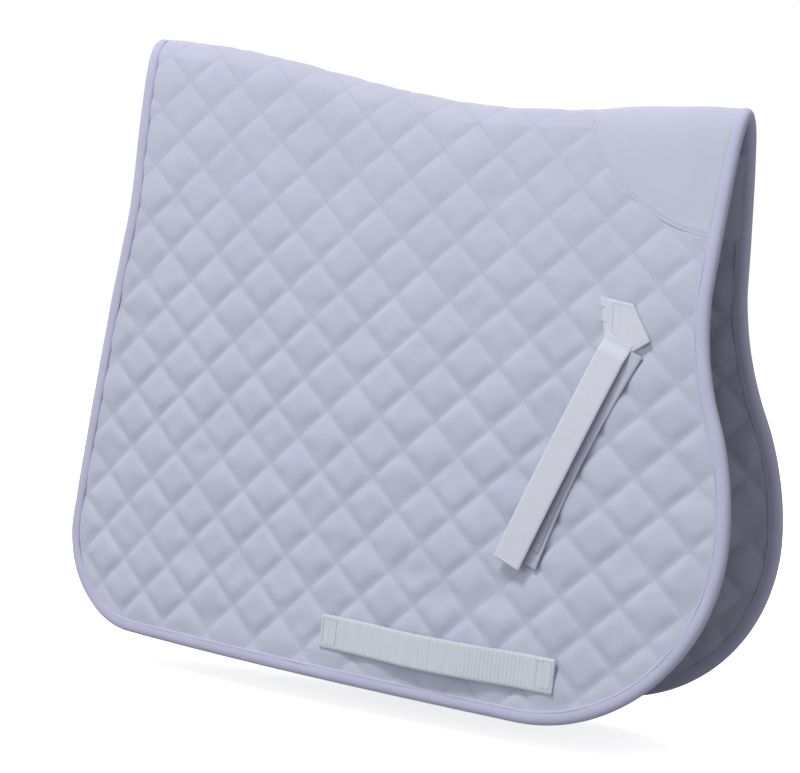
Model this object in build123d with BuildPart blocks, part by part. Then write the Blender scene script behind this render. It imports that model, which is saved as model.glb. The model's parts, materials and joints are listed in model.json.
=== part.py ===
"""English saddle pad: two quilted flaps sewn along a spine seam and hung over a back or rack.

Millimetres. +X runs forward to the withers, +Y to the horse's left and +Z up. The origin is
on the ridge of the spine, at its lowest point. Each flap is a sandwich of cover, wadding and
lining that curves down and outward from the spine, edged with a folded binding.
"""
from math import cos, exp, hypot, pi, radians, sin
import os

from build123d import *

# Spine: the ridge where the two flaps are sewn together
rear_x = -390
front_x = 197
cantle_rise = 50
withers_rise = 6

# Cross-section of a flap: depth is measured straight down from the ridge
lean = 0.0875
crest = 14
crest_depth = 9
shoulder = 27.5
shoulder_depth = 155
barrel = 17
barrel_x = 105
barrel_span = 300
barrel_depth = 500
seam_depth = 18
flap_depth = 570

# Layers of a flap, from the outside in
thickness = 9
cloth = 0.8
layer_gap = 0.1

# Side outline of a flap
back_bend_z = -105
back_corner = (-452, -497)
back_bend_radius = 300
back_corner_radius = 85
waist = (190, -145)
bulge_x = 229
front_corner_radius = 163
bottom_z = -507
outline_top = 120

# Binding folded round the edge
binding_width = 12
binding_wall = 1.0

# Withers patch: its lower edge runs from the spine to the front edge
withers_edge = [(53, 10), (108, -73), (210, -104)]

# Billet straps: two webbings that hang from one sewn tab and close on each other
tab_corners = [(96, -155), (126, -159), (145, -188), (131, -198), (104, -187.4)]
tab_height = 2.0
webbing = 1.4
strap_width = 26
strap_angle = 21.5
strap_top = (117, -193)
strap_start = 1.0
top_strap_length = 198
under_strap_length = 192
under_strap_shift = 14
body_gap = 0.4
tape_height = 0.8
tape_width = 20
tape_start = 110
tape_length = 70

# Girth strap: sewn flat at both ends and slack between them, so that the girth passes under it
girth_rear_x = -131
girth_front_x = 96
girth_top_z = -446
girth_width = 29
girth_sewn = 18
girth_slack = 9
girth_height = 1.6

# Spine seam and its tapes
ridge_cloth = 0.9
spine_gap = 0.6
fold_gap = 2.2
spine_tape_depth = 38
crest_depths = [2.5, 6, 11]
inner_crest_depths = [7, 12]
tape_depths = [7, 13, 24]
spine_inset = 1.0
tape_inset = binding_width + 8

reach = 220
flap_stations = [-470, -390, -300, -195, -80, 20, 110, 200, 245]
spine_stations = [-300, -195, -80, 20, 110]
flap_depths = [30, 50, 80, 130, 220, 360]


def half_wave(t):
    """Smooth step from 0 at t = 0 to 1 at t = 1."""
    return (1 - cos(pi * t)) / 2


def ridge_z(x):
    """Height of the spine ridge: it dips under the saddle and rises to the cantle and the withers."""
    if x < 0:
        return cantle_rise * half_wave(x / rear_x)
    return withers_rise * half_wave(x / front_x)


def skin_point(x, depth, inset):
    """A point of the right flap as (y, z), inset below its outer surface; negative inset is outside."""
    crest_fade = exp(-depth / crest_depth)
    shoulder_fade = exp(-depth / shoulder_depth)
    taper = barrel * ((x - barrel_x) / barrel_span) ** 2 / barrel_depth
    out = (lean - taper) * depth + crest * (1 - crest_fade) + shoulder * (1 - shoulder_fade)
    slope = lean - taper + crest / crest_depth * crest_fade + shoulder / shoulder_depth * shoulder_fade
    length = hypot(1, slope)
    return (-(out - inset / length), ridge_z(x) - depth - inset * slope / length)


def flap_band(outside, inside, start=seam_depth):
    """Cross-sections of the part of a flap between two insets, from its top edge to below its hem."""
    depths = [start] + [depth for depth in flap_depths if depth > start] + [flap_depth]
    sections = []
    for x in flap_stations:
        outer = [skin_point(x, depth, outside) for depth in depths]
        inner = [skin_point(x, depth, inside) for depth in depths]
        with BuildSketch(Plane.YZ.offset(x)) as section:
            with BuildLine():
                Spline(*outer)
                Line(outer[-1], inner[-1])
                Spline(*inner)
                Line(inner[0], outer[0])
            make_face()
        sections.append(section.sketch)
    return sections


def flap_outline(inset=0):
    """Side outline of a flap, drawn in by inset."""
    middle = ((waist[0] + bulge_x) / 2, (waist[1] + bottom_z + front_corner_radius) / 2)
    bulge = (bulge_x, bottom_z + front_corner_radius)
    hem_front = (bulge_x - front_corner_radius, bottom_z)
    with BuildSketch(Plane.XZ) as outline:
        with BuildLine():
            Line((front_x + 1, outline_top), waist)
            TangentArc(waist, middle, tangent=(0, -1))
            TangentArc(bulge, middle, tangent=(0, 1))
            RadiusArc(bulge, hem_front, front_corner_radius)
            FilletPolyline(
                hem_front,
                back_corner,
                (rear_x - 1, back_bend_z),
                (rear_x - 1, outline_top),
                radius=[back_corner_radius, back_bend_radius],
            )
            Line((rear_x - 1, outline_top), (front_x + 1, outline_top))
        make_face()
        if inset:
            offset(amount=-inset, kind=Kind.INTERSECTION, mode=Mode.REPLACE)
    return outline.sketch


def strap_plane(start, shift=0):
    """Plane whose +X runs across a billet strap and +Y down its length, seen from the right."""
    across = Vector(cos(radians(strap_angle)), 0, -sin(radians(strap_angle)))
    along = Vector(-sin(radians(strap_angle)), 0, -cos(radians(strap_angle)))
    origin = Vector(strap_top[0], 0, strap_top[1]) + across * shift + along * start
    return Plane(origin=origin, x_dir=across, z_dir=across.cross(along))


def strap_outline(start, length, width, shift=0):
    """Side outline of one length of strap."""
    with BuildSketch(strap_plane(start, shift)) as outline:
        Rectangle(width, length, align=(Align.CENTER, Align.MIN))
    return outline.sketch


def sections_at(stations, corners):
    """Cross-sections at these stations; corners gives the corner points of one at its x."""
    sections = []
    for x in stations:
        with BuildSketch(Plane.YZ.offset(x)) as section:
            with BuildLine():
                Polyline(*corners(x), close=True)
            make_face()
        sections.append(section.sketch)
    return sections


def spine_sections(inset, corners):
    """Cross-sections along the spine, which stops short of both ends by inset."""
    return sections_at([rear_x + inset] + spine_stations + [front_x - inset], corners)


def on_midplane(x, inset):
    """Where a surface at this inset meets the plane of symmetry."""
    depth = 0
    while skin_point(x, depth, inset)[0] > 0:
        depth += 0.05
    return (0, skin_point(x, depth, inset)[1])


def mirrored(point):
    """The same point on the left flap."""
    return (-point[0], point[1])


def arch_section(x, outside, inside, edge, outer_depths, inner_depths):
    """Corners of a band folded over the ridge between two insets, down to the depth of its edge."""
    outer = [skin_point(x, depth, outside) for depth in [edge] + outer_depths[::-1]]
    inner = [skin_point(x, depth, inside) for depth in [edge] + inner_depths[::-1]]
    outer_ridge = on_midplane(x, outside)
    inner_ridge = on_midplane(x, inside)
    right = outer + [outer_ridge] + [mirrored(point) for point in reversed(outer)]
    left = [mirrored(point) for point in inner] + [inner_ridge] + inner[::-1]
    return right + left


def cover_section(x):
    """Cloth strip folded over the ridge."""
    return arch_section(x, 0, ridge_cloth, seam_depth - fold_gap, crest_depths, crest_depths)


def core_section(x):
    """Turned-in edges of the two flaps, sewn together under the strip."""
    outside = ridge_cloth + layer_gap
    return arch_section(x, outside, thickness, seam_depth - fold_gap, crest_depths, inner_crest_depths)


def tape_section(x):
    """Folded tape that covers the seam on the lining side."""
    outside = thickness + spine_gap
    inside = outside + ridge_cloth
    return arch_section(x, outside, inside, spine_tape_depth, tape_depths, tape_depths)


def withers_outline():
    """Side outline of the smooth area at the top front, short of the binding."""
    rear, middle, front = withers_edge
    with BuildSketch(Plane.XZ) as outline:
        with BuildLine():
            ThreePointArc(rear, middle, front)
            Polyline(front, (front[0], outline_top), (rear[0], outline_top), rear)
        make_face()
        add(flap_outline(binding_width + 0.3), mode=Mode.INTERSECT)
    return outline.sketch


# ---- the right flap and what is sewn to it ----
layer_inset = binding_wall + layer_gap

with BuildPart() as outer_cover:
    loft(flap_band(0, cloth))
    extrude(flap_outline(layer_inset), amount=reach, mode=Mode.INTERSECT)

with BuildPart() as wadding:
    loft(flap_band(cloth + layer_gap, thickness - cloth - layer_gap))
    extrude(flap_outline(layer_inset), amount=reach, mode=Mode.INTERSECT)

with BuildPart() as lining:
    loft(flap_band(thickness - cloth, thickness))
    extrude(flap_outline(layer_inset), amount=reach, mode=Mode.INTERSECT)

with BuildPart() as binding_channel:
    loft(flap_band(-layer_gap, thickness + layer_gap, start=seam_depth - 2))
    extrude(flap_outline(binding_wall), amount=reach, mode=Mode.INTERSECT)

with BuildPart() as edge_binding:
    loft(flap_band(-layer_gap - binding_wall, thickness + layer_gap + binding_wall))
    extrude(flap_outline(), amount=reach, mode=Mode.INTERSECT)
    extrude(flap_outline(binding_width), amount=reach, mode=Mode.SUBTRACT)
    add(binding_channel.part, mode=Mode.SUBTRACT)

with BuildPart() as withers_patch:
    loft(flap_band(-layer_gap - cloth, -layer_gap))
    extrude(withers_outline(), amount=reach, mode=Mode.INTERSECT)

with BuildPart() as withers_lining_patch:
    loft(flap_band(thickness + layer_gap, thickness + layer_gap + cloth, start=spine_tape_depth + 1))
    extrude(withers_outline(), amount=reach, mode=Mode.INTERSECT)

with BuildPart() as billet_tab:
    loft(flap_band(-layer_gap - tab_height, -layer_gap))
    with BuildSketch(Plane.XZ):
        with BuildLine():
            Polyline(*tab_corners, close=True)
        make_face()
    extrude(amount=reach, mode=Mode.INTERSECT)

# ---- billet straps: heights above the cover, from the flap outward ----
under_low = body_gap
under_high = under_low + webbing
loop_low = under_high + layer_gap
loop_high = loop_low + tape_height
hook_low = loop_high + body_gap
hook_high = hook_low + tape_height
top_low = hook_high + layer_gap
top_high = top_low + webbing

under_strap_side = strap_outline(strap_start, under_strap_length, strap_width, under_strap_shift)
top_strap_side = strap_outline(strap_start, top_strap_length, strap_width)
loop_tape_side = strap_outline(tape_start, tape_length, tape_width, under_strap_shift)
hook_tape_side = strap_outline(tape_start, tape_length, tape_width)

with BuildPart() as billet_under_strap:
    loft(flap_band(-under_high, -under_low))
    extrude(under_strap_side, amount=reach, both=True, mode=Mode.INTERSECT)

with BuildPart() as loop_tape:
    loft(flap_band(-loop_high, -loop_low))
    extrude(loop_tape_side, amount=reach, both=True, mode=Mode.INTERSECT)

with BuildPart() as hook_tape:
    loft(flap_band(-hook_high, -hook_low))
    extrude(hook_tape_side, amount=reach, both=True, mode=Mode.INTERSECT)

with BuildPart() as billet_top_strap:
    loft(flap_band(-top_high, -top_low))
    extrude(top_strap_side, amount=reach, both=True, mode=Mode.INTERSECT)


# ---- girth strap ----
def girth_section(x):
    """Corners of the girth strap at x, where it stands off the cover by its lift."""
    free_rear = girth_rear_x + girth_sewn
    free_front = girth_front_x - girth_sewn
    t = min(max((x - free_rear) / (free_front - free_rear), 0), 1)
    low = layer_gap + girth_slack * half_wave(2 * t)
    high = low + girth_height
    top = ridge_z(x) - girth_top_z
    foot = top + girth_width
    return [
        skin_point(x, top, -low),
        skin_point(x, top, -high),
        skin_point(x, foot, -high),
        skin_point(x, foot, -low),
    ]


free_length = girth_front_x - girth_rear_x - 2 * girth_sewn
free_stations = [girth_rear_x + girth_sewn + free_length * i / 8 for i in range(9)]
with BuildPart() as girth_strap:
    loft(sections_at([girth_rear_x] + free_stations + [girth_front_x], girth_section))

# ---- spine ----
with BuildPart() as spine_cover_strip:
    loft(spine_sections(spine_inset, cover_section))

with BuildPart() as spine_seam:
    loft(spine_sections(spine_inset, core_section))

with BuildPart() as spine_tape:
    loft(spine_sections(tape_inset, tape_section))

# ---- write every piece, the flap's pieces once for each side ----
flap_pieces = {
    "outer_cover": outer_cover,
    "wadding": wadding,
    "lining": lining,
    "edge_binding": edge_binding,
    "withers_patch": withers_patch,
    "withers_lining_patch": withers_lining_patch,
    "billet_tab": billet_tab,
    "billet_under_strap": billet_under_strap,
    "loop_tape": loop_tape,
    "hook_tape": hook_tape,
    "billet_top_strap": billet_top_strap,
    "girth_strap": girth_strap,
}
spine_pieces = {
    "spine_cover_strip": spine_cover_strip,
    "spine_seam": spine_seam,
    "spine_tape": spine_tape,
}


def write(piece, name):
    """Label a finished piece and write it as its own file."""
    piece.part.label = name
    export_step(piece.part, f"parts/{name}.step")


os.makedirs("parts", exist_ok=True)
for name, piece in spine_pieces.items():
    write(piece, name)
for name, piece in flap_pieces.items():
    write(piece, f"right_{name}")
    with BuildPart() as left_piece:
        mirror(piece.part, about=Plane.XZ)
    write(left_piece, f"left_{name}")
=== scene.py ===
"""Looks of a quilted English saddle pad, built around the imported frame.

Shapes are worked out in millimetres on the right flap (-Y) as (x, depth below the ridge,
height above the cover's crown), and mirrored for the left flap.
"""
import json
import math

import bmesh
import bpy
import numpy as np
from mathutils import Euler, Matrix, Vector
from mathutils.kdtree import KDTree


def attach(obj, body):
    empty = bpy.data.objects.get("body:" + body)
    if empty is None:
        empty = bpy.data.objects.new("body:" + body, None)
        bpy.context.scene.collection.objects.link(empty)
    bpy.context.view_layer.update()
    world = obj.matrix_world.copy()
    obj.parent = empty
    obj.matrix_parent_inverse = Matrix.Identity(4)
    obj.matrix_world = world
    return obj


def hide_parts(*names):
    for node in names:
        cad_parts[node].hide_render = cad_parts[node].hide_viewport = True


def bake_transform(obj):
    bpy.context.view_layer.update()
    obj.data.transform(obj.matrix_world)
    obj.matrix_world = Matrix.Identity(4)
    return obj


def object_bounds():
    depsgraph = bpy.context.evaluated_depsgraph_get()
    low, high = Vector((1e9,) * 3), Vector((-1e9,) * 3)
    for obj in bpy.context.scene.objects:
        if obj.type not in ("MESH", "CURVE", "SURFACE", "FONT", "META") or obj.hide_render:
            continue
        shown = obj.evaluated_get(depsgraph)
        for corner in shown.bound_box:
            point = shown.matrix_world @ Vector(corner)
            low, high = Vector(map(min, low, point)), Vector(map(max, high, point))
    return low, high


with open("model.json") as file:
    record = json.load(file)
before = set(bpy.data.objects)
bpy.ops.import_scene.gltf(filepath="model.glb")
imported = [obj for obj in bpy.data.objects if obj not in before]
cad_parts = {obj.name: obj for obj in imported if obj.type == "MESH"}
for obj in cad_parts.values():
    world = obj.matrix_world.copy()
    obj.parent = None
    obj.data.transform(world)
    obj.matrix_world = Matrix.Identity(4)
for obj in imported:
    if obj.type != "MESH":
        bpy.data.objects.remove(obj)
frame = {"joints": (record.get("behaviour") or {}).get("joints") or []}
cad_low, cad_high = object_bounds()
MM = 0.001

# Sheet of a flap, as in the CAD source
REAR_X, FRONT_X = -390.0, 197.0
CANTLE_RISE, WITHERS_RISE = 50.0, 6.0
LEAN, CREST, CREST_DEPTH, SHOULDER, SHOULDER_DEPTH = 0.0875, 14.0, 9.0, 27.5, 155.0
BARREL, BARREL_X, BARREL_SPAN, BARREL_DEPTH = 17.0, 105.0, 300.0, 500.0
SEAM_DEPTH, THICKNESS = 18.0, 9.0
RIDGE_ROUND = 1.6

# Quilting: half diagonals of a cell along the pad and down the cloth, and one crossing
CELL_X, CELL_DOWN = 26.87, 25.8
CROSSING_X, CROSSING_DOWN = -43.3, 332.7
STEPS = 6
CELLS_A, CELLS_B = (-14, 14), (-16, 13)
VALLEY, PUFF = 2.9, 3.1
LINING_VALLEY, LINING_PUFF = 2.6, 3.2
FULL_PUFF, HELD_PUFF = 1.3, 0.5
SIM_FRAMES = 24

# Withers patch, tab, straps, binding
PATCH_EDGE = [(53.0, 10.0), (108.0, -73.0), (210.0, -104.0)]
TAB = [(96, -155), (126, -159), (145, -188), (131, -198), (104, -187.4)]
TAB_OVER = [(104, -156.5), (126, -159.5), (144.6, -188), (131.2, -197), (109, -187)]
STRAP_TOP, STRAP_ANGLE, STRAP_RUN = (117.0, -193.0), 21.5, 195
OUTLINE_STEP = 2.0
PATCH_SEAMS, PATCH_SEAM_HEIGHT = (3.4, 9.5), -0.62
BINDING_SEAM, BINDING_SEAM_HEIGHTS = 10.4, (-0.25, -8.95)


# ---- the sheet
def half_wave(t):
    return (1 - np.cos(np.pi * t)) / 2


def smooth(t):
    t = np.clip(t, 0, 1)
    return t * t * (3 - 2 * t)


def between(one, two, share):
    return one * (1 - share) + two * share


def side_by_side(*columns):
    """Points from columns of numbers."""
    return np.stack(columns, axis=-1)


def ridge_z(x):
    """Height of the spine ridge at x."""
    x = np.asarray(x, float)
    rear = CANTLE_RISE * half_wave(x / REAR_X)
    front = WITHERS_RISE * half_wave(x / FRONT_X)
    return np.where(x < 0, rear, front)


def outward(x, depth):
    """Distance of the crown surface from the plane of symmetry, and its slope."""
    crest, fade = np.exp(-depth / CREST_DEPTH), np.exp(-depth / SHOULDER_DEPTH)
    taper = BARREL * ((x - BARREL_X) / BARREL_SPAN) ** 2 / BARREL_DEPTH
    out = (LEAN - taper) * depth + CREST * (1 - crest) + SHOULDER * (1 - fade)
    slope = LEAN - taper + CREST / CREST_DEPTH * crest + SHOULDER / SHOULDER_DEPTH * fade
    return out, slope


def cloth_length(x, depth):
    """Distance along the sheet from the ridge to this depth."""
    share = (np.arange(24) + 0.5) / 24
    slope = outward(x[..., None], depth[..., None] * share)[1]
    return np.hypot(1, slope).mean(axis=-1) * depth


def depth_at(x, along):
    """Depth straight down of a point this far along the sheet from the ridge."""
    depth = along.copy()
    for _ in range(4):
        depth = along - (cloth_length(x, depth) - depth)
    return depth


def midplane_table():
    """For each height above the crown, the depth at which it meets the plane of symmetry."""
    heights = np.linspace(-16, 8, 49)
    depths = np.linspace(-6, 40, 1841)
    out, slope = outward(0.0, depths)
    found = []
    for height in heights:
        y = out + height / np.hypot(1, slope)
        found.append(depths[np.argmax(y >= 0)])
    return heights, np.array(found)


HEIGHTS, MIDPLANE = midplane_table()


def place(x, depth, height):
    """Point of the right flap in metres; heights are along the outward normal."""
    x, depth, height = np.broadcast_arrays(*(np.asarray(v, float) for v in (x, depth, height)))
    start = np.interp(height, HEIGHTS, MIDPLANE)
    down = depth + start * np.exp(-np.abs(depth) / 12)
    out, slope = outward(x, down)
    length = np.hypot(1, slope)
    y = -(out + height / length)
    rounding = np.sqrt(depth ** 2 + RIDGE_ROUND ** 2) - np.abs(depth)
    z = ridge_z(x) - down - rounding + height * slope / length
    return side_by_side(x, np.minimum(y, 0), z) * MM


def depth_from_side(x, z, height=0.0):
    """Depth of the point seen from the side at (x, z), at this height above the crown."""
    depth = ridge_z(x) - z
    for _ in range(3):
        slope = outward(x, depth)[1]
        depth = ridge_z(x) - z + height * slope / np.hypot(1, slope)
    return depth


def place_side(x, z, height):
    """Point of the right flap seen from the side at (x, z)."""
    x, z = np.asarray(x, float), np.asarray(z, float)
    return place(x, depth_from_side(x, z, height), height)


# ---- outlines
def arc_through(start, end, tangent, count):
    """Points of the arc that leaves start along tangent and ends at end."""
    start, end = np.array(start, float), np.array(end, float)
    tangent = np.array(tangent, float) / np.hypot(*tangent)
    normal = np.array([-tangent[1], tangent[0]])
    chord = end - start
    radius = chord @ chord / (2 * chord @ normal)
    centre = start + normal * radius
    first = math.atan2(*(start - centre)[::-1])
    last = math.atan2(*(end - centre)[::-1])
    turn = (last - first + math.pi) % (2 * math.pi) - math.pi
    angles = first + turn * np.linspace(0, 1, count)
    return centre + abs(radius) * side_by_side(np.cos(angles), np.sin(angles))


def fillet(before, corner, after, radius, count):
    """Points of the arc that rounds a corner."""
    before, corner, after = (np.array(p, float) for p in (before, corner, after))
    one = (before - corner) / np.linalg.norm(before - corner)
    two = (after - corner) / np.linalg.norm(after - corner)
    half = math.acos(np.clip(one @ two, -1, 1)) / 2
    reach = radius / math.tan(half)
    return arc_through(corner + one * reach, corner + two * reach, -one, count)


def resample(points, step):
    """Evenly spaced points along a polyline."""
    points = np.asarray(points, float)
    length = np.concatenate([[0], np.cumsum(np.linalg.norm(np.diff(points, axis=0), axis=1))])
    count = max(2, int(round(length[-1] / step)) + 1)
    at = np.linspace(0, length[-1], count)
    return side_by_side(*(np.interp(at, length, column) for column in points.T))


def flap_outline():
    """Side outline of a flap: from the ridge at the front, round the hem, to the rear."""
    waist, bulge, hem_front = (190, -145), (229, -344), (66, -507)
    middle = ((190 + 229) / 2, (-145 - 344) / 2)
    hem_rear, bend, top_rear = (-452, -497), (-391, -105), (-391, 60)
    rise = float(ridge_z(FRONT_X))
    parts = [
        [(197.3, rise + 14), (197.3, rise)],
        arc_through(waist, middle, (0, -1), 30),
        arc_through(bulge, middle, (0, 1), 30)[::-1],
        arc_through(bulge, hem_front, (0, -1), 80),
        fillet(hem_front, hem_rear, bend, 85, 60),
        fillet(hem_rear, bend, top_rear, 300, 40),
        [(-391, float(ridge_z(REAR_X))), (-391, float(ridge_z(REAR_X)) + 14)],
    ]
    return resample(np.concatenate([np.array(p, float) for p in parts]), OUTLINE_STEP)


OUTLINE = flap_outline()
BOUND_EDGE = OUTLINE[6:-6]


def edge_distance(x, z):
    """How far a side point lies inside the flap's outline; above the ridge it counts as on it."""
    z = np.minimum(z, ridge_z(x))
    tree = KDTree(len(OUTLINE))
    for i, p in enumerate(OUTLINE):
        tree.insert((p[0], p[1], 0), i)
    tree.balance()
    after = np.roll(OUTLINE, -1, axis=0) - OUTLINE
    after[-1] = after[-2]
    inward = side_by_side(after[:, 1], -after[:, 0])
    inward /= np.linalg.norm(inward, axis=1)[:, None]
    result = np.empty(len(x))
    for k, (px, pz) in enumerate(zip(x, z)):
        i = tree.find((px, pz, 0))[1]
        result[k] = (px - OUTLINE[i][0]) * inward[i][0] + (pz - OUTLINE[i][1]) * inward[i][1]
    return result


def circle_of(points):
    """Centre and radius of the circle through three points."""
    (ax, ay), (bx, by), (cx, cy) = points
    matrix = np.array([[bx - ax, by - ay], [cx - ax, cy - ay]]) * 2
    right = [bx ** 2 + by ** 2 - ax ** 2 - ay ** 2, cx ** 2 + cy ** 2 - ax ** 2 - ay ** 2]
    centre = np.linalg.solve(matrix, right)
    return centre, float(np.hypot(ax - centre[0], ay - centre[1]))


PATCH_CENTRE, PATCH_RADIUS = circle_of(PATCH_EDGE)


def patch_distance(x, z):
    """How far a side point lies inside the withers patch; negative outside."""
    return PATCH_RADIUS - np.hypot(x - PATCH_CENTRE[0], z - PATCH_CENTRE[1])


# ---- meshes
def new_object(name, points, faces, material, attributes=None):
    """A mesh object with smooth shading and named point attributes."""
    mesh = bpy.data.meshes.new(name)
    mesh.from_pydata([tuple(p) for p in np.asarray(points, float)], [], faces)
    mesh.polygons.foreach_set("use_smooth", [True] * len(mesh.polygons))
    for key, values in (attributes or {}).items():
        values = np.asarray(values, np.float32)
        layer = mesh.attributes.new(key, "FLOAT_VECTOR", "POINT")
        layer.data.foreach_set("vector", values.ravel())
    mesh.materials.append(material)
    mesh.validate()
    mesh.update()
    obj = bpy.data.objects.new(name, mesh)
    bpy.context.scene.collection.objects.link(obj)
    return obj


def plain_sheet(flat):
    """Attributes of a cloth without quilting: its flat place in metres, and no stitch lines."""
    return {"sheet": flat * MM, "cells": flat * 0}


def subdivided(obj):
    """The object with its mesh subdivided once for good."""
    modifier = obj.modifiers.new("smooth", "SUBSURF")
    modifier.levels = modifier.render_levels = 1
    modifier.boundary_smooth = "PRESERVE_CORNERS"
    depsgraph = bpy.context.evaluated_depsgraph_get()
    mesh = bpy.data.meshes.new_from_object(
        obj.evaluated_get(depsgraph), preserve_all_data_layers=True, depsgraph=depsgraph
    )
    obj.modifiers.clear()
    obj.data = mesh
    return obj


def grid_faces(rows, columns, closed=False, first=0):
    """Quads of a grid of points in row order; closed joins the last column to the first."""
    faces = []
    for i in range(rows - 1):
        for j in range(columns if closed else columns - 1):
            k = (j + 1) % columns
            a, b = first + i * columns, first + (i + 1) * columns
            faces.append((a + j, a + k, b + k, b + j))
    return faces


def strip_faces(rows, columns):
    """Faces of a closed strip, whose rings run over it and back under it, with its end caps."""
    faces = grid_faces(rows, columns, closed=True)
    for base, back in ((0, False), ((rows - 1) * columns, True)):
        for j in range(columns // 2 - 1):
            k = columns - 1 - j
            quad = (base + j, base + k, base + k - 1, base + j + 1)
            faces.append(quad[::-1] if back else quad)
    return faces


def joined(name, objects):
    """One object from several."""
    bpy.ops.object.select_all(action="DESELECT")
    for obj in objects:
        obj.select_set(True)
    bpy.context.view_layer.objects.active = objects[0]
    bpy.ops.object.join()
    objects[0].name = objects[0].data.name = name
    return objects[0]


def flipped(obj, name):
    """A copy of a piece, mirrored across the plane of symmetry."""
    copy = obj.copy()
    copy.data = obj.data.copy()
    copy.name = copy.data.name = name
    bpy.context.scene.collection.objects.link(copy)
    points = np.empty(len(copy.data.vertices) * 3, np.float32)
    copy.data.vertices.foreach_get("co", points)
    points[1::3] *= -1
    copy.data.vertices.foreach_set("co", points)
    copy.data.flip_normals()
    return copy


# ---- quilting
def lattice_indices():
    a = np.arange(CELLS_A[0] * STEPS, CELLS_A[1] * STEPS + 1)
    b = np.arange(CELLS_B[0] * STEPS, CELLS_B[1] * STEPS + 1)
    return np.meshgrid(a, b, indexing="ij")


def lattice_point(ia, ib):
    """(x, distance down from the level of the dip) of a lattice vertex."""
    return (
        CROSSING_X + (ia + ib) / STEPS * CELL_X,
        CROSSING_DOWN + (ib - ia) / STEPS * CELL_DOWN,
    )


def lattice_quads(keep, index):
    """Quads whose four corners are all kept."""
    whole = keep[:-1, :-1] & keep[1:, :-1] & keep[1:, 1:] & keep[:-1, 1:]
    i, j = np.nonzero(whole)
    return side_by_side(index[i, j], index[i + 1, j], index[i + 1, j + 1], index[i, j + 1])


def relaxed(points, quads, free):
    """Points without spikes: each free one moves half way to the mean of its neighbours."""
    ends = np.concatenate([quads[:, [0, 1]], quads[:, [1, 2]], quads[:, [2, 3]], quads[:, [3, 0]]])
    ends = np.concatenate([ends, ends[:, ::-1]])
    count = np.bincount(ends[:, 0], minlength=len(points))[:, None]
    total = side_by_side(
        *(np.bincount(ends[:, 0], column[ends[:, 1]], len(points)) for column in points.T)
    )
    mean = total / np.maximum(count, 1)
    return np.where(free[:, None] & (count > 0), (points + mean) / 2, points)


def puffed_field():
    """Quilt puffs: flat cloth held along the stitch lines and blown up by the wadding."""
    ia, ib = lattice_indices()
    x, down = lattice_point(ia, ib)
    keep = (x > -480) & (x < 258) & (down > -80) & (down < 640)
    index = np.full(ia.shape, -1)
    index[keep] = np.arange(keep.sum())
    quads = lattice_quads(keep, index)
    across_a, across_b = np.sin(np.pi * ia / STEPS), np.sin(np.pi * ib / STEPS)
    dome = np.sqrt(np.abs(across_a * across_b))
    rng = np.random.default_rng(7)
    uneven = rng.uniform(0.86, 1.08, (CELLS_A[1] - CELLS_A[0] + 1, CELLS_B[1] - CELLS_B[0] + 1))
    size = uneven[(ia // STEPS) - CELLS_A[0], (ib // STEPS) - CELLS_B[0]]
    jitter = rng.normal(0, 0.15, x.shape)
    start = (1.5 * dome * size + jitter * dome) * MM
    points = side_by_side(x[keep] * MM, down[keep] * MM, start[keep])
    sheet = new_object("sim", points, quads.tolist(), bpy.data.materials.new("plain"))
    stitched = (ia % STEPS == 0) | (ib % STEPS == 0)
    group = sheet.vertex_groups.new(name="pin")
    group.add(index[keep & stitched].tolist(), 1.0, "REPLACE")
    inside = np.zeros(keep.shape, bool)
    inside[1:-1, 1:-1] = (
        keep[1:-1, 1:-1] & keep[2:, 1:-1] & keep[:-2, 1:-1] & keep[1:-1, 2:] & keep[1:-1, :-2]
    )
    group.add(index[keep & ~inside].tolist(), 1.0, "REPLACE")
    cloth = sheet.modifiers.new("cloth", "CLOTH")
    settings = cloth.settings
    settings.quality = 6
    settings.mass = 0.2
    settings.tension_stiffness = settings.compression_stiffness = 20
    settings.shear_stiffness = 8
    settings.bending_stiffness = 0.15
    settings.air_damping = 2
    settings.vertex_group_mass = "pin"
    settings.pin_stiffness = 50
    settings.shrink_min = -0.055
    settings.use_pressure = True
    settings.uniform_pressure_force = 4.0
    settings.effector_weights.gravity = 0
    cloth.collision_settings.use_collision = False
    cloth.collision_settings.use_self_collision = False
    cloth.point_cache.frame_start, cloth.point_cache.frame_end = 1, SIM_FRAMES
    scene = bpy.context.scene
    for step in range(1, SIM_FRAMES + 1):
        scene.frame_set(step)
    evaluated = sheet.evaluated_get(bpy.context.evaluated_depsgraph_get())
    moved = np.empty(len(points) * 3, np.float32)
    evaluated.data.vertices.foreach_get("co", moved)
    moved = moved.reshape(-1, 3) / MM
    scene.frame_set(1)
    bpy.data.objects.remove(sheet)
    field = [np.zeros(x.shape) for _ in range(3)]
    moved = relaxed(moved, quads, ~stitched[keep])
    field[0][keep] = np.clip(moved[:, 0] - x[keep], -2.5, 2.5)
    field[1][keep] = np.clip(moved[:, 1] - down[keep], -2.5, 2.5)
    field[2][keep] = np.clip(moved[:, 2], -2, 14)
    inner = keep & (dome > 0.9) & (np.abs(down - 300) < 150) & (np.abs(x + 80) < 200)
    typical = float(np.median(field[2][inner]))
    print(f"quilting: simulated crown {typical:.2f} mm, spread {field[2][inner].std():.2f}")
    return keep, field[0], field[1], field[2] / typical * 0.97


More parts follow.
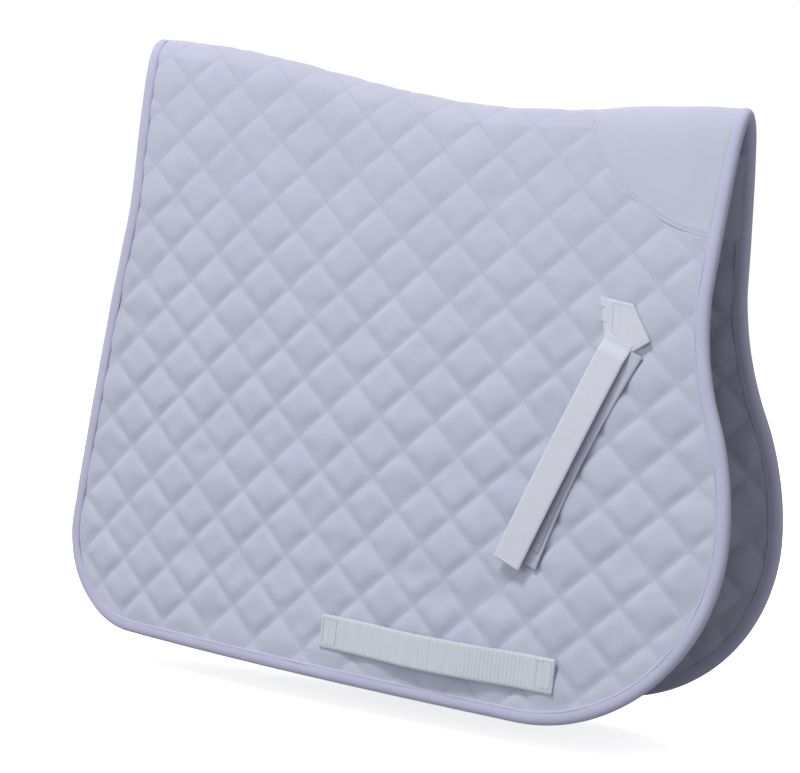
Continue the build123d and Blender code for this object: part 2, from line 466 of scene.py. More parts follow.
def flap_lattice(field, turned=False):
    """The quilting over one flap: x, depth, puff from 0 to about 1, edge distances, quads."""
    keep, shift_x, shift_down, puff = field
    ia, ib = lattice_indices()
    if turned:
        # the same cloth upside down, so that the lining's folds differ from the cover's
        at_a, at_b = ib - CELLS_A[0] * STEPS + 2 * STEPS, ia - CELLS_B[0] * STEPS - 2 * STEPS
        ok = (at_a >= 0) & (at_a < ia.shape[0]) & (at_b >= 0) & (at_b < ia.shape[1])
        at_a, at_b = np.where(ok, at_a, 0), np.where(ok, at_b, 0)
        ok &= keep[at_a, at_b]
        shift_x = np.where(ok, shift_x[at_a, at_b], 0)
        shift_down = -np.where(ok, shift_down[at_a, at_b], 0)
        plain = np.sqrt(np.abs(np.sin(np.pi * ia / STEPS) * np.sin(np.pi * ib / STEPS)))
        puff = np.where(ok, puff[at_a, at_b], plain)
    x, down = lattice_point(ia, ib)
    along = down + ridge_z(x)
    inside = keep & (along > -20)
    depth = np.full(x.shape, -1.0)
    depth[inside] = depth_at(x[inside], along[inside])
    z = ridge_z(x) - depth
    edge = np.full(x.shape, -1.0)
    edge[inside] = edge_distance(x[inside], z[inside])
    inside &= edge > 2.2
    index = np.full(ia.shape, -1)
    index[inside] = np.arange(inside.sum())
    return {
        "x": x[inside] + shift_x[inside],
        "depth": depth[inside] + shift_down[inside],
        "puff": puff[inside],
        "edge": edge[inside],
        "patch": patch_distance(x[inside], z[inside]),
        "quads": lattice_quads(inside, index),
    }


def cut_lattice(lattice, heights, low, high):
    """The part of the quilting between two depths, as (x, depth, height) points and faces."""
    mesh = bpy.data.meshes.new("cut")
    flat = side_by_side(lattice["x"], lattice["depth"], heights)
    mesh.from_pydata(flat.tolist(), [], lattice["quads"].tolist())
    work = bmesh.new()
    work.from_mesh(mesh)
    bpy.data.meshes.remove(mesh)
    for depth, normal in ((low, -1), (high, 1)):
        if depth is not None:
            geometry = work.verts[:] + work.edges[:] + work.faces[:]
            bmesh.ops.bisect_plane(
                work, geom=geometry, plane_co=(0, depth, 0), plane_no=(0, normal, 0),
                clear_outer=True, dist=0.02,
            )
    loose = [v for v in work.verts if not v.link_faces]
    bmesh.ops.delete(work, geom=loose, context="VERTS")
    slivers = [f for f in work.faces if f.calc_area() < 1e-4]
    bmesh.ops.delete(work, geom=slivers, context="FACES")
    work.verts.index_update()
    points = np.array([v.co for v in work.verts])
    faces = [tuple(v.index for v in f.verts) for f in work.faces]
    work.free()
    return points, faces


def cells_of(points):
    """Cell coordinates of flat points; stitch lines are at whole numbers."""
    x, depth = points[:, 0], points[:, 1]
    down = cloth_length(x, depth) - ridge_z(x)
    u, v = (x - CROSSING_X) / CELL_X, (down - CROSSING_DOWN) / CELL_DOWN
    return side_by_side((u - v) / 2, (u + v) / 2, 0 * u)


def sheet_attributes(points):
    """Flat place on the sheet in metres, and cell coordinates, which have no lines in the patch."""
    smooth_area = patch_distance(points[:, 0], ridge_z(points[:, 0]) - points[:, 1]) > 0
    return {
        "sheet": points * (1, 1, 0) * MM,
        "cells": np.where(smooth_area[:, None], 0.5, cells_of(points)),
    }


def crease_stitches(obj, cells):
    """Keeps the valleys sharp where both ends of an edge lie on one stitch line."""
    mesh = obj.data
    layer = mesh.attributes.new("crease_edge", "FLOAT", "EDGE")
    ends = np.empty(len(mesh.edges) * 2, np.int32)
    mesh.edges.foreach_get("vertices", ends)
    one, two = cells[ends[0::2], :2], cells[ends[1::2], :2]
    near = np.abs(one - np.round(one)) < 0.03
    same = (np.round(one) == np.round(two)) & (np.abs(two - np.round(two)) < 0.03)
    layer.data.foreach_set("value", np.where((near & same).any(axis=1), 0.7, 0).astype(np.float32))


def in_binding(lattice):
    """How far the sandwich is pressed together in the binding, from 0 to 1."""
    return 1 - smooth((lattice["edge"] - 8) / 16)


def in_patch(lattice):
    """How flat the quilted cloth lies because the patch covers it, from 0 to 1."""
    return smooth((lattice["patch"] - 1) / 5)


def cover_height(lattice, limit=FULL_PUFF):
    """Height of the outer cover above the crown surface, pulled flatter near the top."""
    puff = np.clip(lattice["puff"], 0, limit) ** 0.62
    pulled = 0.55 + 0.45 * smooth((lattice["depth"] - 60) / 220)
    height = (PUFF * puff - VALLEY) * pulled
    height = between(height, -1.5 + 0.6 * puff, in_binding(lattice))
    near_ridge = 1 - smooth((lattice["depth"] - 2) / 26)
    height = between(height, -1.0 + 0.8 * puff, near_ridge)
    return between(height, -1.9 + 0.35 * puff, in_patch(lattice))


def lining_height(lattice, limit=FULL_PUFF):
    """Height of the lining; it puffs the other way."""
    puff = np.clip(lattice["puff"], 0, limit)
    height = -THICKNESS + LINING_VALLEY - LINING_PUFF * puff
    height = between(height, -THICKNESS + 1.1 - 0.6 * puff, in_binding(lattice))
    return between(height, -THICKNESS + 1.4 - 0.3 * puff, in_patch(lattice))


def quilted_sheet(name, lattice, heights, material, low=SEAM_DEPTH, high=None, inner=False):
    """One quilted cloth of the right flap."""
    points, faces = cut_lattice(lattice, heights, low, high)
    if inner:
        faces = [face[::-1] for face in faces]
    obj = new_object(name, place(*points.T), faces, material, sheet_attributes(points))
    crease_stitches(obj, cells_of(points))
    return subdivided(obj)


def wadding(name, outer, inner, material):
    """The fill between the cover and the lining, as one closed soft pad."""
    gap, start = 1.7, SEAM_DEPTH + 1
    tops, faces = cut_lattice(outer, cover_height(outer, HELD_PUFF) - gap, start, None)
    lows, _ = cut_lattice(inner, lining_height(inner, HELD_PUFF) + gap, start, None)
    # points pair up by their order in the two cuts, which is wrong for a few of them
    if len(lows) != len(tops):
        lows = tops.copy()
        lows[:, 2] = -THICKNESS + LINING_VALLEY + 0.4
    lows[:, :2] = tops[:, :2]
    lows[:, 2] = np.minimum(lows[:, 2], tops[:, 2] - 0.4)
    count = len(tops)
    edges = dict.fromkeys(pair for face in faces for pair in zip(face, face[1:] + face[:1]))
    rim = [(b, a, a + count, b + count) for a, b in edges if (b, a) not in edges]
    below = [tuple(i + count for i in reversed(face)) for face in faces]
    points = np.concatenate([tops, lows])
    faces = faces + below + rim
    return new_object(name, place(*points.T), faces, material, sheet_attributes(points))


# ---- other cloth pieces
def patch_height(distance, edge, x, z):
    """Height of the withers patch: turned in at its curved edge, two grooves, a soft crown."""
    rise = smooth(distance / 2.4)
    near, far = PATCH_SEAMS
    groove = np.exp(-((distance - near) / 1.0) ** 2) + 0.7 * np.exp(-((distance - far) / 1.3) ** 2)
    swell = smooth(distance / 45) * smooth((edge - 6) / 40)
    ripple = np.sin(x / 21 + z / 33) * np.sin(z / 17 - x / 43)
    fold = np.exp(-(((x - 110) * 0.62 + (z + 30) * 0.78) / 9) ** 2) * smooth((x - 75) / 30)
    return -1.9 + 1.8 * rise - 0.6 * groove + 1.1 * swell + (0.5 * ripple - 0.5 * fold) * swell


def patch_point(angle, distance):
    """Side point of the patch this far inside its curved edge."""
    radius = PATCH_RADIUS - distance
    return PATCH_CENTRE[0] + radius * np.cos(angle), PATCH_CENTRE[1] + radius * np.sin(angle)


def patch_angles(count):
    return np.radians(np.linspace(150, 290, count))


def withers_patch(name, material, inner=False):
    """Smooth patch at the top front: a crowned cloth turned in along its curved edge."""
    inward = np.concatenate([[0, 0.5, 1.1, 1.9, 2.7, 3.5, 4.6, 6], np.arange(8, 215, 3.4)])
    angle, distance = np.meshgrid(patch_angles(150), inward, indexing="ij")
    x, z = patch_point(angle, distance)
    depth = ridge_z(x) - z
    edge = edge_distance(x.ravel(), z.ravel()).reshape(x.shape)
    keep = (edge > 5) & (depth > -12) & (PATCH_RADIUS - distance > 4)
    index = np.arange(x.size).reshape(x.shape)
    quads = lattice_quads(keep, index)
    height = patch_height(distance, edge, x, z)
    height = between(height, np.minimum(height, -0.6), smooth((14 - edge) / 8))
    if inner:
        height = -THICKNESS - 0.2 - (height + 0.8) * 0.7
    flat = {"x": x.ravel(), "depth": depth.ravel(), "quads": quads}
    points, faces = cut_lattice(flat, height.ravel(), 36.0 if inner else SEAM_DEPTH - 2, None)
    if inner:
        faces = [face[::-1] for face in faces]
    return new_object(name, place(*points.T), faces, material, sheet_attributes(points))


def inward_normals(path):
    """Unit directions from a path round the flap into the flap."""
    along = np.gradient(path, axis=0)
    normal = side_by_side(along[:, 1], -along[:, 0])
    return normal / np.linalg.norm(normal, axis=1)[:, None]


# (inset from the edge, height) round the tape, from its outer leg to its inner leg
BINDING_SECTION = np.array([
    (11.6, -1.9), (12.2, -1.0), (11.6, -0.3), (10.4, -0.45), (9.6, -0.25), (7.8, 0.15),
    (5.6, 0.25), (3.4, -0.1), (1.6, -1.1), (0.5, -2.6), (0.15, -4.5), (0.5, -6.5), (1.6, -8.1),
    (3.4, -9.1), (5.6, -9.5), (7.8, -9.35), (9.6, -8.95), (10.4, -8.75), (11.6, -8.9),
    (12.2, -8.2), (11.6, -7.3),
])


def binding(name, material):
    """Folded tape round the edge: two legs and a rolled edge, slightly wavy over the quilting."""
    length = np.arange(len(BOUND_EDGE)) * OUTLINE_STEP
    rows = []
    for p, n, at in zip(BOUND_EDGE, inward_normals(BOUND_EDGE), length):
        wave = 0.35 * math.sin(at / 8.4) + 0.25 * math.sin(at / 13.7 + 1)
        row = []
        for inset, height in BINDING_SECTION:
            spot = p + n * (inset + 0.35 * wave * (inset > 8))
            row.append((spot[0], spot[1], height + 0.35 * wave * (1 if height > -4.5 else -1)))
        rows.append(row)
    x, z, height = np.moveaxis(np.array(rows), 2, 0)
    depth = np.maximum(ridge_z(x) - z, 0)
    points = place(x, depth, height).reshape(-1, 3)
    steps = np.diff(BINDING_SECTION, axis=0, prepend=BINDING_SECTION[:1])
    across = np.cumsum(np.hypot(*steps.T))
    tape = side_by_side(
        np.repeat(length, len(across)), np.tile(across, len(length)), np.zeros(len(points))
    )
    depth = depth.ravel()
    faces = [
        quad for quad in grid_faces(len(length), len(across)) if depth[list(quad)].max() > 0
    ]
    return new_object(name, points, faces, material, plain_sheet(tape))


def spine_cloth(name, material, outer, inner, reach_depth, ends, step=4.0):
    """Cloth folded over the spine: a closed strip between two heights, on both flaps."""
    stations = np.arange(REAR_X + ends, FRONT_X - ends + 0.1, step)
    depths = np.linspace(0, reach_depth, 9)
    signed = np.concatenate([-depths[::-1], depths[1:]])
    loop = [(d, outer) for d in signed] + [(d, inner) for d in signed[::-1]]
    rows = []
    for x in stations:
        for d, height in loop:
            point = place(x, abs(d), height)
            rows.append((point[0], point[1] if d <= 0 else -point[1], point[2]))
    flat = np.array([(x, d, 0) for x in stations for d, _ in loop])
    faces = strip_faces(len(stations), len(loop))
    return new_object(name, rows, faces, material, plain_sheet(flat))


def strap_frame(across, along, shift=0.0):
    """Side point of a spot on a billet strap."""
    angle = math.radians(STRAP_ANGLE)
    x = STRAP_TOP[0] + math.cos(angle) * (across + shift) - math.sin(angle) * along
    z = STRAP_TOP[1] - math.sin(angle) * (across + shift) - math.cos(angle) * along
    return x, z


def recalc_normals(obj):
    work = bmesh.new()
    work.from_mesh(obj.data)
    bmesh.ops.recalc_face_normals(work, faces=work.faces[:])
    work.to_mesh(obj.data)
    work.free()


RIBBON_SPOTS = np.array([-1, -0.985, -0.94, -0.8, -0.55, -0.28, 0, 0.28, 0.55, 0.8, 0.94, 0.985, 1])


def ribbon(name, at, length, step, width, thickness, material, rib, pitch):
    """A strap of webbing. at(across, along) gives x, z and the height of its underside."""
    along = np.arange(0, length + 0.01, step)
    along[-1] = length
    half = width / 2
    across = half * RIBBON_SPOTS
    round_off = thickness * 0.45 * (1 - smooth((1 - np.abs(across) / half) / 0.07))
    loop_across = np.concatenate([across, across[::-1]])
    loop_height = np.concatenate([thickness - round_off, round_off[::-1]])
    a, h = (np.repeat(v[None], len(along), axis=0) for v in (loop_across, loop_height))
    v = np.repeat(along[:, None], len(loop_across), axis=1)
    ribs = rib * np.sin(2 * np.pi * along / pitch)[:, None]
    face = smooth((half - np.abs(a)) / 1.5) * np.where(h > thickness / 2, 1, -1)
    x, z, base = at(a, v)
    points = place_side(x, z, base + (h + ribs * face)).reshape(-1, 3)
    flat = side_by_side(v.ravel(), a.ravel(), 0 * a.ravel())
    faces = strip_faces(len(along), len(loop_across))
    obj = new_object(name, points, faces, material, plain_sheet(flat))
    recalc_normals(obj)
    return obj


def billet_strap(
    name, start, length, width, shift, low, thickness, material, rib=0.015, tucked=None, bow=0.0
):
    """A billet strap or its tape, lying over the cover at this height."""

    def at(across, along):
        down = start + along
        aside = shift * (1 - 0.45 * np.sin(np.pi * down / STRAP_RUN))
        x, z = strap_frame(across, down, aside)
        sewn = 1 - smooth((along - 3) / 12) if tucked is not None else 0
        lift = bow * smooth(down / 90) + 0.1 * bow * np.sin(down / 19.0)
        return x, z, (low + lift) * (1 - sewn) + (tucked or 0) * sewn

    return ribbon(name, at, length, 1.0, width, thickness, material, rib, 2.2)


def girth_strap(name, material):
    """Wide webbing sewn at both ends, slack between them."""
    rear, front, top, width, sewn, slack = -131.0, 96.0, -446.0, 29.0, 18.0, 9.0
    length = front - rear

    def at(across, along):
        x = rear + along
        free = np.clip((along - sewn) / (length - 2 * sewn), 0, 1)
        z = top - width / 2 + across - 0.018 * (x - rear)
        sag = 0.4 * np.sin(along / 11.0) * np.sin(np.pi * free)
        return x, z, 0.2 + (slack - 1) * half_wave(2 * free) + sag

    return ribbon(name, at, length, 0.8, width, 1.5, material, 0.06, 3.4)


def billet_tab(name, material):
    """Sewn tab of folded webbing: a base layer and a turned-over corner."""
    pieces = []
    for number, (corners, low, high) in enumerate([(TAB, 0.1, 1.2), (TAB_OVER, 1.2, 2.2)]):
        work = bmesh.new()
        work.faces.new([work.verts.new((x, z, 0)) for x, z in corners])
        bmesh.ops.recalc_face_normals(work, faces=work.faces[:])
        for face in work.faces:
            if face.normal.z < 0:
                face.normal_flip()
        extruded = bmesh.ops.extrude_face_region(work, geom=work.faces[:])
        for item in extruded["geom"]:
            if isinstance(item, bmesh.types.BMVert):
                item.co.z = 1.0
        bmesh.ops.recalc_face_normals(work, faces=work.faces[:])
        bmesh.ops.bevel(
            work, geom=work.edges[:], offset=0.45, segments=2, profile=0.6, affect="EDGES"
        )
        for across, down, first, last in ((1, 0, 92, 150), (0, 1, -200, -150)):
            for cut in np.arange(first, last, 4.0):
                bmesh.ops.bisect_plane(
                    work, geom=work.verts[:] + work.edges[:] + work.faces[:],
                    plane_co=(cut * across, cut * down, 0), plane_no=(across, down, 0),
                )
        flat = np.array([v.co for v in work.verts])
        faces = [tuple(v.index for v in f.verts) for f in work.faces]
        work.free()
        swell = 0.25 * np.sin((flat[:, 0] - 96) / 9) * np.sin((flat[:, 1] + 155) / 11)
        height = low + (high - low) * flat[:, 2] + swell * (flat[:, 2] > 0.5)
        points = place_side(flat[:, 0], flat[:, 1], height)
        sheet = plain_sheet(flat * (1, 1, 0))
        obj = new_object(f"{name}_{number}", points, faces, material, sheet)
        recalc_normals(obj)
        pieces.append(obj)
    return joined(name, pieces)


# ---- stitches
def stitch_mesh(name, paths, material, pitch=3.3, length=2.5, radius=0.32):
    """Thread laid along paths of (x, depth, height) points, as separate rounded stitches."""
    points, faces = [], []
    ring = 5
    rows = [(-0.5, 0.25), (-0.32, 0.85), (0, 1.0), (0.32, 0.85), (0.5, 0.25)]
    for path in paths:
        spots = resample(path, pitch)
        world = place(*spots.T)
        above = place(*(spots + (0, 0, 1)).T)
        for i in range(len(world) - 1):
            forward = world[i + 1] - world[i]
            long = np.linalg.norm(forward)
            if long < 1e-5:
                continue
            forward = forward / long
            normal = above[i] - world[i]
            normal = normal - forward * (normal @ forward)
            if np.linalg.norm(normal) < 1e-6:
                continue
            normal /= np.linalg.norm(normal)
            side = np.cross(forward, normal)
            middle = (world[i] + world[i + 1]) / 2
            first = len(points)
            for share, size in rows:
                for k in range(ring):
                    angle = 2 * math.pi * k / ring
                    offset = math.cos(angle) * side + math.sin(angle) * normal
                    points.append(
                        middle + forward * share * length * MM + offset * size * radius * MM
                    )
            faces += grid_faces(len(rows), ring, closed=True, first=first)
            faces.append(tuple(first + k for k in reversed(range(ring))))
            faces.append(tuple(first + (len(rows) - 1) * ring + k for k in range(ring)))
    return new_object(name, points, faces, material, plain_sheet(np.array(points) / MM))


def side_path(points, height):
    """(x, depth, height) path from side points."""
    x, z = np.asarray(points, float).T
    return side_by_side(x, np.maximum(ridge_z(x) - z, 0), 0 * x + height)


def binding_stitch_paths():
    seam = BOUND_EDGE + inward_normals(BOUND_EDGE) * BINDING_SEAM
    keep = ridge_z(seam[:, 0]) - seam[:, 1] > 1
    return [side_path(seam[keep], height) for height in BINDING_SEAM_HEIGHTS]


def patch_stitch_paths():
    result = []
    for inset in PATCH_SEAMS:
        x, z = patch_point(patch_angles(240), inset)
        keep = (edge_distance(x, z) > 12.5) & (ridge_z(x) - z > 4)
        result.append(side_path(side_by_side(x[keep], z[keep]), PATCH_SEAM_HEIGHT))
    return result


def box_path(corners, height, close=True):
    corners = list(corners) + ([corners[0]] if close else [])
    return side_path(resample(np.array(corners, float), 1.0), height)


# ---- materials
class Nodes:
    """Short calls that add nodes to a tree. Each returns the output it is used for."""

    def __init__(self, tree):
        self.tree = tree

    def new(self, kind, operation=None):
        node = self.tree.nodes.new("ShaderNode" + kind)
        if operation:
            node.operation = operation
        return node

    def put(self, node, values):
        """Sets inputs of a node: outputs are linked, numbers and colours are set."""
        for key, value in values.items():
            if isinstance(value, bpy.types.NodeSocket):
                self.tree.links.new(value, node.inputs[key])
            elif isinstance(value, tuple):
                node.inputs[key].default_value = (*value, 1)
            else:
                node.inputs[key].default_value = value

    def math(self, operation, *values):
        node = self.new("Math", operation)
        self.put(node, dict(enumerate(values)))
        return node.outputs[0]

    def mix(self, factor, one, two):
        node = self.new("Mix")
        node.data_type = "RGBA"
        self.put(node, {0: factor, 6: one, 7: two})
        return node.outputs[2]

    def noise(self, vector, scale, detail=3.0, roughness=0.55):
        node = self.new("TexNoise")
        self.put(
            node, {"Scale": scale, "Detail": detail, "Roughness": roughness, "Vector": vector}
        )
        return node.outputs["Fac"]

    def attribute(self, name):
        node = self.new("Attribute")
        node.attribute_name = name
        return node.outputs["Vector"]

    def split(self, vector):
        node = self.new("SeparateXYZ")
        self.put(node, {0: vector})
        return node.outputs

    def ramp(self, value, low, high):
        node = self.new("MapRange")
        self.put(node, {"From Min": low, "From Max": high, "Value": value})
        return node.outputs[0]

    def bump(self, height, distance, strength, previous=None):
        node = self.new("Bump")
        self.put(node, {"Strength": strength, "Distance": distance, "Height": height})
        if previous is not None:
            self.put(node, {"Normal": previous})
        return node.outputs[0]

    def weave(self, axes, threads):
        """Plain weave: warp and weft waves that take turns on top."""
        scaled = [self.math("MULTIPLY", axes[i], threads * 2 * math.pi) for i in (0, 1)]
        return self.math("MULTIPLY", *(self.math("SINE", s) for s in scaled))


def new_material(name):
    """A material, short calls for its nodes, its shader and the place on the flat cloth."""
    material = bpy.data.materials.new(name)
    material.use_nodes = True
    nodes = Nodes(material.node_tree)
    return material, nodes, material.node_tree.nodes["Principled BSDF"], nodes.attribute("sheet")


def cotton(name, light, dark, threads=1100, sheen=0.25, stitches=False):
    """Woven polycotton: weave bump, cloudy colour, and thread along whole cell coordinates, with
    painted shade darkening the cloth in the stitch-line valleys.
    """
    material, n, shader, place_on = new_material(name)
    cloud = n.noise(place_on, 14.0, 4.0)
    speck = n.noise(place_on, 420.0, 3.0, 0.7)
    colour = n.mix(n.ramp(n.math("MULTIPLY_ADD", speck, 0.35, cloud), 0.42, 0.92), dark, light)
    normal = n.bump(n.weave(n.split(place_on), threads), 0.00012, 0.5)
    normal = n.bump(n.noise(place_on, 90.0, 4.0, 0.6), 0.0009, 0.35, normal)
    if stitches:
        cells = n.split(n.attribute("cells"))
        lines, dashes = [], []
        for axis in (0, 1):
            near = n.math("PINGPONG", cells[axis], 0.5)
            dash = n.math("FRACT", n.math("MULTIPLY", cells[1 - axis], 12.0))
            dash = n.math("LESS_THAN", dash, 0.72)
            lines.append(n.math("LESS_THAN", near, 0.022))
            dashes.append(n.math("MULTIPLY", n.math("LESS_THAN", near, 0.011), dash))
        thread, groove = n.math("MAXIMUM", *dashes), n.math("MAXIMUM", *lines)
        # Painted shade: the cloth is darkened along the valleys of the stitch lines, where shade
        # falls; the thread dashes keep their own lighter colour.
        shade = tuple(c * 0.84 for c in dark)
        colour = n.mix(n.math("MULTIPLY", groove, 0.4), colour, shade)
        colour = n.mix(n.math("MULTIPLY", thread, 0.7), colour, light)
        normal = n.bump(thread, 0.0004, 0.6, normal)
    n.put(shader, {
        "Base Color": colour, "Normal": normal,
        "Roughness": n.math("MULTIPLY_ADD", speck, 0.12, 0.78),
        "Sheen Weight": sheen, "Sheen Roughness": 0.45, "Specular IOR Level": 0.25,
    })
    return material


def webbing(name, light, dark, rib_pitch, relief=0.6):
    """Ribbed webbing: ribs across its length over a fine weave."""
    material, n, shader, place_on = new_material(name)
    axes = n.split(place_on)
    turns = n.math("MULTIPLY", axes[0], 2 * math.pi / rib_pitch)
    ribs = n.math("SINE", n.math("MULTIPLY_ADD", n.noise(place_on, 160.0), 1.6, turns))
    stretched = n.new("VectorMath", "MULTIPLY")
    stretched.inputs[1].default_value = (1.0, 0.06, 1.0)
    n.put(stretched, {0: place_on})
    streak = n.noise(stretched.outputs[0], 260.0, 3.0, 0.6)
    colour = n.mix(n.ramp(n.math("MULTIPLY_ADD", ribs, 0.10, streak), 0.3, 0.72), dark, light)
    normal = n.bump(ribs, 0.00018, relief)
    n.put(shader, {
        "Base Color": colour, "Normal": n.bump(n.weave(axes, 700), 0.0001, 0.5, normal),
        "Roughness": n.math("MULTIPLY_ADD", streak, 0.15, 0.62),
        "Sheen Weight": 0.3, "Sheen Roughness": 0.4,
    })
    return material


def hook_loop(name, light, dark, spots, depth):
    """Hook-and-loop tape: dense small tufts."""
    material, n, shader, place_on = new_material(name)
    tufts = n.new("TexVoronoi")
    n.put(tufts, {"Scale": spots, "Vector": place_on})
    fuzz = n.noise(place_on, 600.0, 5.0, 0.7)
    tuft = n.math("MULTIPLY", tufts.outputs["Distance"], fuzz)
    n.put(shader, {
        "Base Color": n.mix(tuft, dark, light), "Normal": n.bump(tuft, depth, 0.8),
        "Roughness": n.math("MULTIPLY_ADD", fuzz, 0.1, 0.82), "Sheen Weight": 0.4,
    })
    return material


def thread_material(name, light, dark):
    """Twisted sewing thread."""
    material, n, shader, place_on = new_material(name)
    twist = n.noise(place_on, 1500.0, 2.0)
    n.put(shader, {
        "Base Color": n.mix(twist, dark, light), "Normal": n.bump(twist, 0.0002, 0.5),
        "Roughness": n.math("MULTIPLY_ADD", twist, 0.2, 0.45),
    })
    return material


# ---- build
COVER = cotton("quilted_cotton", (0.58, 0.60, 0.73), (0.53, 0.545, 0.675), stitches=True)
# The lining is a shade darker than the cover: partly the cloth's own greyer tone, partly painted
# shade for the flap's inner side, which lies in shadow.
LINING = cotton("quilted_lining", (0.56, 0.58, 0.70), (0.50, 0.515, 0.63), stitches=True)
PATCH = cotton("plain_cotton", (0.58, 0.605, 0.725), (0.54, 0.56, 0.68))
TAPE = cotton("binding_tape", (0.56, 0.565, 0.735), (0.51, 0.515, 0.69), threads=900, sheen=0.2)
FILL = cotton("wadding_fill", (0.85, 0.85, 0.86), (0.72, 0.72, 0.74), threads=300)
STRAP = webbing("webbing_strap", (0.67, 0.69, 0.78), (0.645, 0.665, 0.755), 0.0022, 0.2)
# The under strap is the same webbing as the top strap, painted darker: painted shade from the top
# strap that lies over it.
UNDER_STRAP_PAINTED_SHADE = webbing("webbing_under_painted_shade", (0.54, 0.55, 0.68), (0.50, 0.51, 0.64), 0.0022, 0.2)
GIRTH = webbing("webbing_girth", (0.67, 0.70, 0.76), (0.61, 0.635, 0.70), 0.0034)
HOOK = hook_loop("hook_tape", (0.72, 0.74, 0.83), (0.42, 0.43, 0.52), 1100.0, 0.0006)
LOOP = hook_loop("loop_tape", (0.56, 0.57, 0.69), (0.42, 0.43, 0.55), 700.0, 0.0007)
THREAD = thread_material("thread", (0.63, 0.65, 0.77), (0.50, 0.51, 0.62))


def hang(piece):
    """Bakes the piece's placement into its mesh."""
    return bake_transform(piece)


def joint_spot(side, share):
    """Point down a billet strap from its hinge."""
    joint = next(j for j in frame["joints"] if j["name"] == f"{side}_billet_lift")
    hinge, axis = Vector(joint["pos_m"]), Vector(joint["axis"])
    low = Vector(place_side(*strap_frame(0, 24.0), 3.0))
    if side == "left":
        low.y = -low.y
    along = low - hinge
    along -= axis * along.dot(axis)
    return hinge + along * share


field = puffed_field()
outer = flap_lattice(field)
inner = flap_lattice(field, turned=True)

right = {
    "quilted_cover": quilted_sheet("right_quilted_cover", outer, cover_height(outer), COVER),
    "quilted_lining": quilted_sheet(
        "right_quilted_lining", inner, lining_height(inner), LINING, inner=True
    ),
    "wadding_pad": wadding("right_wadding_pad", outer, inner, FILL),
    "edge_tape": binding("right_edge_tape", TAPE),
    "withers_cloth": withers_patch("right_withers_cloth", PATCH),
    "withers_lining_cloth": withers_patch("right_withers_lining_cloth", PATCH, inner=True),
    "folded_tab": billet_tab("right_folded_tab", STRAP),
    "under_webbing": billet_strap(
        "right_under_webbing", -1, 194, 26, 11, 0.4, 1.3, UNDER_STRAP_PAINTED_SHADE, tucked=0.2
    ),
    "loop_pad": billet_strap("right_loop_pad", 110, 70, 20, 11, 1.9, 0.8, LOOP, rib=0),
    "hook_pad": billet_strap("right_hook_pad", 110, 70, 20, 0, 3.6, 0.8, HOOK, rib=0, bow=2.7),
    "top_webbing": billet_strap(
        "right_top_webbing", -5, 204, 26, 0, 4.4, 1.4, STRAP, tucked=1.3, bow=2.7
    ),
    "girth_webbing": girth_strap("right_girth_webbing", GIRTH),
    "edge_thread": stitch_mesh(
        "right_edge_thread", binding_stitch_paths() + patch_stitch_paths(), THREAD
    ),
    "strap_thread": stitch_mesh(
        "right_strap_thread",
        [
            box_path([(-128.5, -449), (-115, -449.3), (-115, -471.5), (-128.5, -471.3)], 1.9),
            box_path([(80, -452.7), (93.5, -453), (93.5, -475), (80, -474.8)], 1.9),
            box_path(
                [(108, -159.5), (124.5, -162), (141, -187.5), (130, -194), (111.5, -184.5)], 2.1
            ),
            box_path([(95.5, -163.5), (101.5, -163)], 1.6, close=False),
            box_path([(98.5, -175.5), (104, -175)], 1.6, close=False),
        ],
        THREAD,
    ),
}
# CAD node, material slot, and the body that a piece rides or the two that it bends between
TAGS = {
    "quilted_cover": ("outer_cover", "quilted_cotton", "spine", "flap"),
    "quilted_lining": ("lining", "quilted_lining", "spine", "flap"),
    "wadding_pad": ("wadding", "wadding", "spine", "flap"),
    "edge_tape": ("edge_binding", "binding_tape", "spine", "flap"),
    "withers_cloth": ("withers_patch", "plain_cotton", "spine", "flap"),
    "withers_lining_cloth": ("withers_lining_patch", "plain_cotton", "spine", "flap"),
    "folded_tab": ("billet_tab", "webbing", "flap"),
    "under_webbing": ("billet_under_strap", "webbing", "flap", "under_strap"),
    "loop_pad": ("loop_tape", "hook_and_loop", "under_strap"),
    "hook_pad": ("hook_tape", "hook_and_loop", "top_strap"),
    "top_webbing": ("billet_top_strap", "webbing", "under_strap", "top_strap"),
    "girth_webbing": ("girth_strap", "webbing", "flap"),
    "edge_thread": (None, "binding_tape", "spine", "flap"),
    "strap_thread": (None, "webbing", "flap"),
}
left = {key: flipped(piece, f"left_{key}") for key, piece in right.items()}
for side, named in (("right", right), ("left", left)):
    for key, piece in named.items():
        node, material_slot, *bodies = TAGS[key]
        if node:
            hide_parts(f"{side}_{node}")
        rides = [f"{side}_{body}" for body in bodies]
        if "spine" in bodies:
            hang(piece)
        elif len(rides) == 2:
            joint_spot(side, 0.0)
            joint_spot(side, 0.6)
            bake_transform(piece)
        else:
            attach(piece, *rides)


def spine_strip():
    """Quilted cloth over the ridge, on both sides of it."""
    z = ridge_z(outer["x"]) - outer["depth"]
    over = patch_height(np.maximum(outer["patch"], 0), outer["edge"], outer["x"], z)
    height = between(cover_height(outer), over, in_patch(outer))
    half = quilted_sheet("spine_half", outer, height, COVER, low=0.0, high=SEAM_DEPTH)
    other = flipped(half, "spine_other")
    strip = joined("spine_quilted_strip", [half, other])
    work = bmesh.new()
    work.from_mesh(strip.data)
    bmesh.ops.remove_doubles(work, verts=work.verts[:], dist=0.0003)
    work.to_mesh(strip.data)
    work.free()
    return strip


strip = spine_strip()
seam = spine_cloth("spine_seam_allowance", PATCH, -4.4, -8.2, 17.0, 3.0)
tape = spine_cloth("spine_inside_tape", TAPE, -9.9, -10.7, 38.0, 14.0)
for piece, node, material_slot in (
    (strip, "spine_cover_strip", "quilted_cotton"),
    (seam, "spine_seam", "quilted_cotton"),
    (tape, "spine_tape", "binding_tape"),
):
    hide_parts(node)
    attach(piece, "spine")


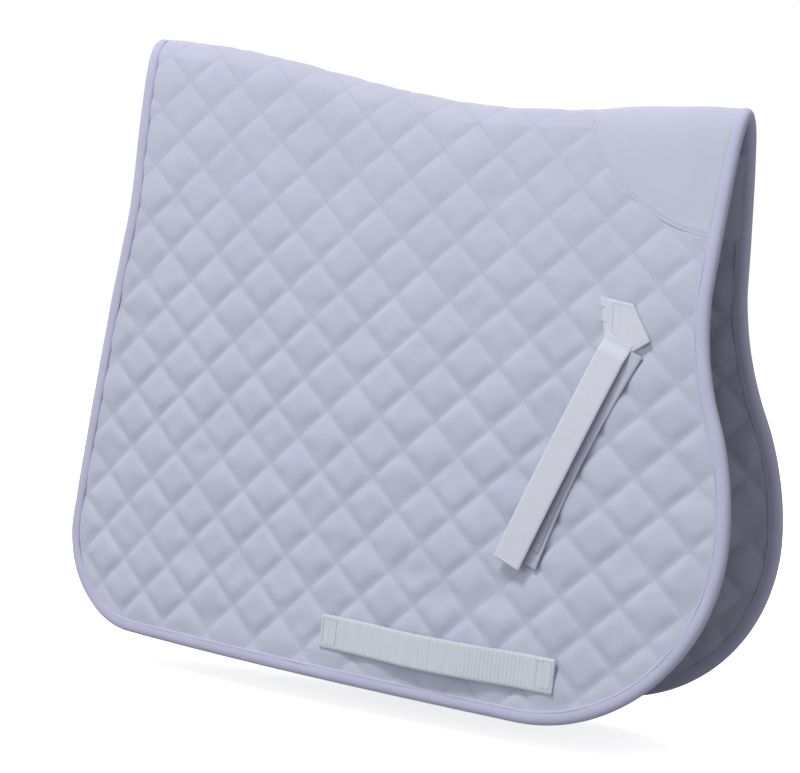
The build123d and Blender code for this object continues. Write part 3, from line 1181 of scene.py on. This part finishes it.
# ---- studio
def floor_material():
    """Paint that looks white and sends little light back up to the pad."""
    material = bpy.data.materials.new("floor_paint")
    material.use_nodes = True
    n = Nodes(material.node_tree)
    grain = n.noise(n.new("TexCoord").outputs["Object"], 6.0, 4.0)
    seen = n.new("LightPath").outputs["Is Camera Ray"]
    pale = n.mix(grain, (0.93, 0.93, 0.94), (0.96, 0.96, 0.965))
    colour = n.mix(seen, (0.34, 0.34, 0.36), pale)
    n.put(material.node_tree.nodes["Principled BSDF"], {
        "Base Color": colour, "Emission Color": colour,
        "Emission Strength": n.math("MULTIPLY", seen, 0.80),
        "Roughness": 0.9, "Specular IOR Level": 0.1,
    })
    return material


PAD_MIDDLE = Vector((-0.1, 0, -0.25))
LENS_MM, SENSOR_MM = 101.6685, 36.0


def studio():
    """Pale floor, white surround, a soft key from above the pad's right side, two fills."""
    level = cad_low.z - 0.02
    points = [(-6, -6, level), (6, -6, level), (6, 6, level), (-6, 6, level)]
    floor = new_object("floor", points, [(0, 1, 2, 3)], floor_material())
    world = bpy.data.worlds.new("surround")
    bpy.context.scene.world = world
    world.use_nodes = True
    n = Nodes(world.node_tree)
    seen = n.new("LightPath").outputs["Is Camera Ray"]
    n.put(world.node_tree.nodes["Background"], {
        "Color": (1.0, 1.0, 1.0), "Strength": n.math("MULTIPLY_ADD", seen, 0.61, 0.41),
    })
    for name, spot, size, energy in (
        ("key", (-1.5, -3.0, 5.6), 1.4, 266.0),
        ("front_fill", (-0.9, -3.3, 0.4), 2.4, 27.0),
        ("back_fill", (-1.6, 3.0, 1.9), 2.2, 70.0),
    ):
        light = bpy.data.lights.new(name, "AREA")
        light.size = size
        light.energy = energy
        lamp = bpy.data.objects.new(name, light)
        lamp.location = spot
        aim = PAD_MIDDLE - Vector(spot)
        lamp.rotation_euler = aim.to_track_quat("-Z", "Y").to_euler()
        bpy.context.scene.collection.objects.link(lamp)


def camera():
    """Three-quarter view from the front right, with a long lens."""
    azimuth, elevation, roll = math.radians(28.94), math.radians(4.0), math.radians(3.95)
    distance, target = 1.9863, Vector((-0.1099, 0, -0.2495))
    level = math.cos(elevation)
    back = Vector((math.sin(azimuth) * level, -math.cos(azimuth) * level, math.sin(elevation)))
    data = bpy.data.cameras.new("camera")
    data.sensor_width, data.lens = SENSOR_MM, LENS_MM
    data.clip_start, data.clip_end = 0.05, 60
    obj = bpy.data.objects.new("camera", data)
    obj.location = target + back * distance
    turn = (-back).to_track_quat("-Z", "Y").to_matrix().to_4x4()
    obj.rotation_euler = (turn @ Euler((0, 0, roll)).to_matrix().to_4x4()).to_euler()
    bpy.context.scene.collection.objects.link(obj)
    bpy.context.scene.camera = obj


studio()
camera()
scene = bpy.context.scene
scene.view_settings.view_transform = "Standard"
scene.view_settings.look = "None"
